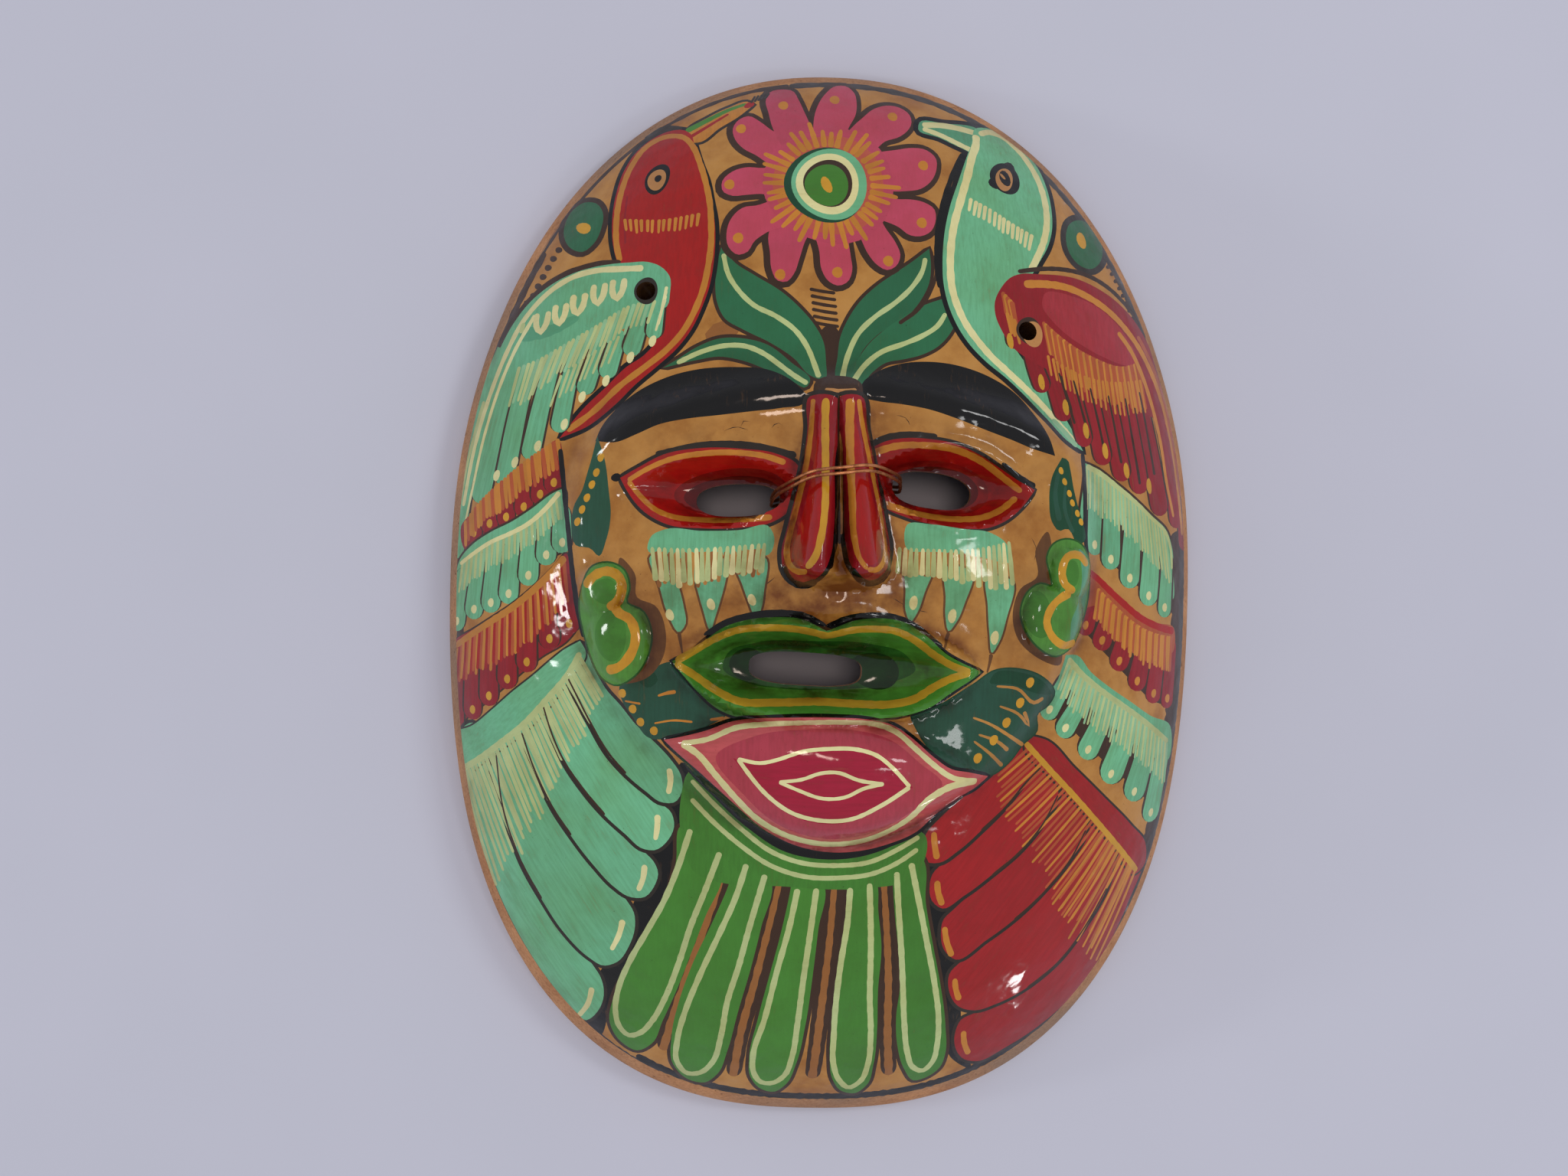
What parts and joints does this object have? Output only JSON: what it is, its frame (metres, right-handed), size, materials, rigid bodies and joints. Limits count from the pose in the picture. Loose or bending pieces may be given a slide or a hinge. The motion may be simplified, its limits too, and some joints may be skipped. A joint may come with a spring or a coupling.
{
  "type": "terracotta mask",
  "caption": "Hollow oval clay wall mask with a face in relief, open eyes and mouth, painted birds and feathers, and a thin copper wire over the nose.",
  "frame": {"origin": "middle of the oval, on the plane of the back edge that the mask lies on", "axes": "+Z out of the face, +Y to the top of the head, +X to the viewer's right; the mask lies face up"},
  "size_m": [0.172, 0.24, 0.0702],
  "materials": {
    "painted_clay": "terracotta, hand-painted and lacquered in front, bare behind",
    "copper_wire": "dull copper"
  },
  "bodies": {
    "root": {"mask_shell": "painted_clay", "hanging_wire": "copper_wire"}
  },
  "joints": []
}
